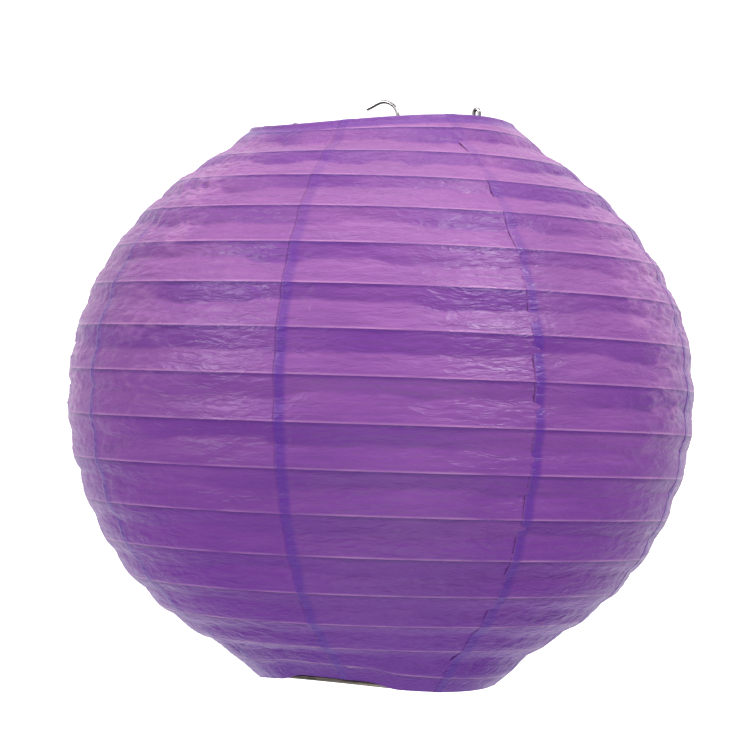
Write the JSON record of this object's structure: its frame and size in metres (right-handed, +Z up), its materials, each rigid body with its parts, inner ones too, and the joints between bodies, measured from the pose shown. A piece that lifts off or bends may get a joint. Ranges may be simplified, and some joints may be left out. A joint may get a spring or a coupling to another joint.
{
  "type": "round paper lantern",
  "caption": "Round folding paper lantern: glued paper gores on a spiral wire rib, with wire end rings and a wire expander that ends in a hanging hook.",
  "frame": {"origin": "underside of the hook's crook, where the lantern hangs, on the shade's axis", "axes": "+Z up along the shade's axis, +X across the expander towards the leg below the hook's stem"},
  "size_m": [0.24, 0.24, 0.2288],
  "materials": {
    "purple_paper": "thin tissue paper, faintly waxed, with fold creases and crumples",
    "expander_steel": "bright drawn wire",
    "ring_steel": "drawn wire, slightly dull",
    "rib_steel": "thin drawn wire"
  },
  "bodies": {
    "expander": {"expander_wire": "expander_steel"},
    "shell": {"top_ring": "ring_steel", "spiral_rib": "rib_steel", "paper_gore_1": "purple_paper", "paper_gore_2": "purple_paper", "paper_gore_3": "purple_paper", "paper_gore_4": "purple_paper", "paper_gore_5": "purple_paper", "paper_gore_6": "purple_paper", "paper_gore_7": "purple_paper", "paper_gore_8": "purple_paper"},
    "foot": {"bottom_ring": "ring_steel"}
  },
  "joints": [
    {"name": "lift_out", "type": "slide", "parent": "expander", "child": "shell", "axis": [0, 0, -1], "range_m": [0, 0.24]},
    {"name": "fold", "type": "slide", "parent": "shell", "child": "foot", "axis": [0, 0, 1], "range_m": [0, 0.192], "deforming": ["spiral_rib", "paper_gore_1", "paper_gore_2", "paper_gore_3", "paper_gore_4", "paper_gore_5", "paper_gore_6", "paper_gore_7", "paper_gore_8"]}
  ],
  "couplings": [
    {"joint": "fold", "follows": "lift_out", "ratio": 0.8}
  ]
}
